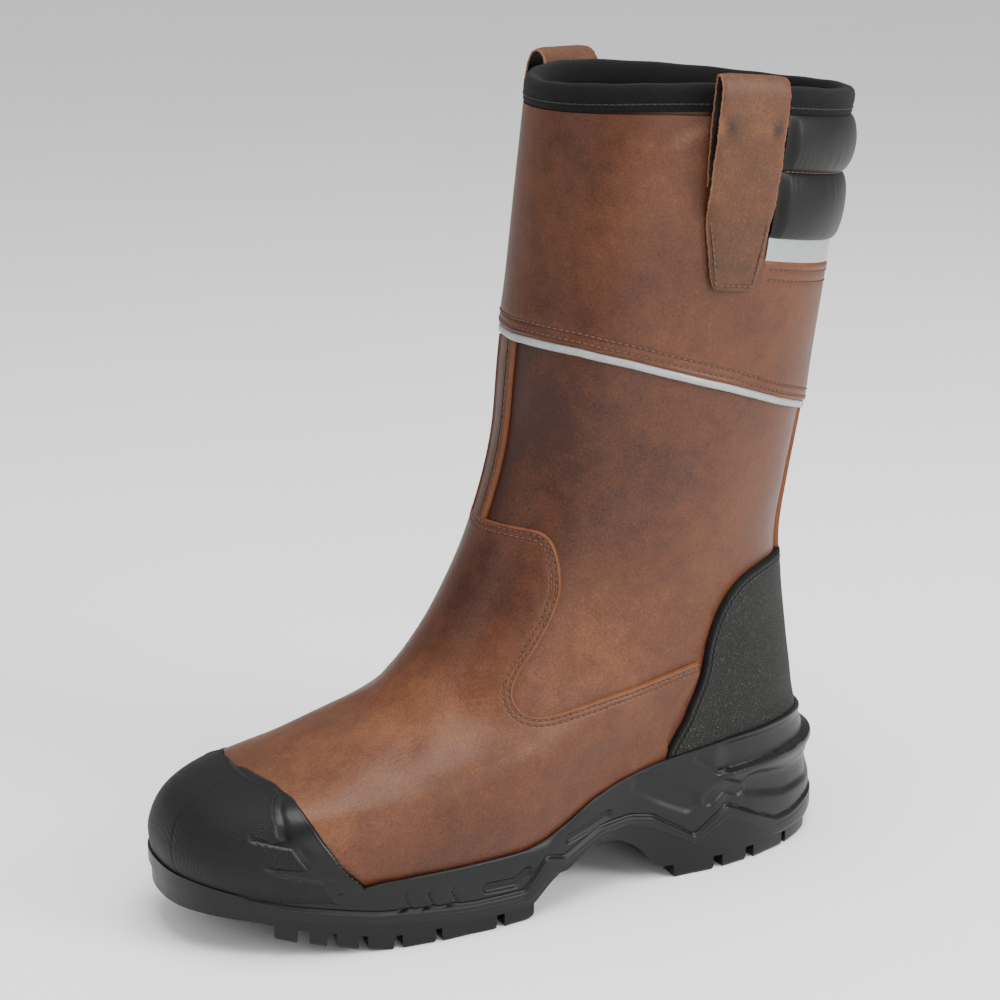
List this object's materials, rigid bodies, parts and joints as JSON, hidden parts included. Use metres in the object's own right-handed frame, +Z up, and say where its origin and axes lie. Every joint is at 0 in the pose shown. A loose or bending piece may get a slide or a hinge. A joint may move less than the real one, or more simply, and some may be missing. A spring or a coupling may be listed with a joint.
{
  "type": "rigger boot",
  "caption": "Pull-on leather work boot, left foot, with a moulded toe cap, padded collar, pull loops and a cleated sole.",
  "frame": {"origin": "on the floor, in the middle of the heel's tread", "axes": "+X toward the toe, +Y toward the wearer's left, +Z up"},
  "size_m": [0.3087, 0.1312, 0.3406],
  "materials": {
    "outsole": "moulded, satin",
    "midsole": "moulded polyurethane, satin",
    "insole": "felt",
    "upper": "oiled",
    "vamp": "oiled",
    "toe_cap": "moulded, part glossy, part textile texture",
    "heel_counter": "coarse weave",
    "cuff": "oiled",
    "cuff_piping": "reflective tape",
    "front_stay": "oiled",
    "back_stay": "raw edge",
    "collar_padding": "smooth coated textile",
    "reflective_strip": "reflective tape",
    "collar_binding": "woven tape",
    "pull_loop_outer": "oiled, raw edges",
    "pull_loop_inner": "oiled, raw edges"
  },
  "bodies": {
    "root": {"outsole": "outsole", "midsole": "midsole", "insole": "insole", "upper": "upper", "vamp": "vamp", "toe_cap": "toe_cap", "heel_counter": "heel_counter", "cuff": "cuff", "cuff_piping": "cuff_piping", "front_stay": "front_stay", "back_stay": "back_stay", "collar_padding": "collar_padding", "reflective_strip": "reflective_strip", "collar_binding": "collar_binding", "pull_loop_outer": "pull_loop_outer", "pull_loop_inner": "pull_loop_inner"}
  },
  "joints": []
}
